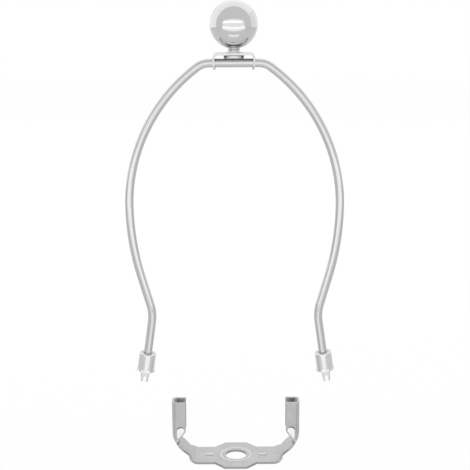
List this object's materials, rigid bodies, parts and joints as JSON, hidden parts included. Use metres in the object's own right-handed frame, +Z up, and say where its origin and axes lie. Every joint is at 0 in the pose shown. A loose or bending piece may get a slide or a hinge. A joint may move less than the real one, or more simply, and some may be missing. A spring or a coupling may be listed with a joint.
{
  "type": "lamp harp",
  "caption": "Bent wire lamp harp with sliding ferrules, a swivelling shade seat, a ball finial and a folded saddle laid out below it.",
  "frame": {"origin": "centre of the saddle's hole, on the saddle's underside", "axes": "+Z up along the hole and towards the finial, +X across the two legs to the right, +Y to the back"},
  "size_m": [0.108, 0.0286, 0.2333],
  "materials": {
    "wire_chrome": "bright plated steel with fine drawing marks",
    "ball_chrome": "mirror-bright plating",
    "satin_steel": "even satin plating on a pressed sheet"
  },
  "bodies": {
    "bow": {"harp_wire": "wire_chrome", "saddle": "satin_steel"},
    "left_sleeve": {"ferrule_left": "wire_chrome"},
    "right_sleeve": {"ferrule_right": "wire_chrome"},
    "swivel": {"swivel_strap": "wire_chrome", "threaded_stud": "wire_chrome"},
    "finial": {"finial_ball": "ball_chrome"}
  },
  "joints": [
    {"name": "left_ferrule_slide", "type": "slide", "parent": "bow", "child": "left_sleeve", "axis": [0.1461, 0, 0.9893], "range_m": [0, 0.014]},
    {"name": "right_ferrule_slide", "type": "slide", "parent": "bow", "child": "right_sleeve", "axis": [-0.1461, 0, 0.9893], "range_m": [0, 0.014]},
    {"name": "swivel_tilt", "type": "hinge", "parent": "bow", "child": "swivel", "pos_m": [0, 0, 0.20391], "axis": [1, 0, 0], "continuous": true},
    {"name": "finial_turn", "type": "hinge", "parent": "swivel", "child": "finial", "pos_m": [0, 0, 0.20875], "axis": [0, 0, 1], "continuous": true}
  ]
}
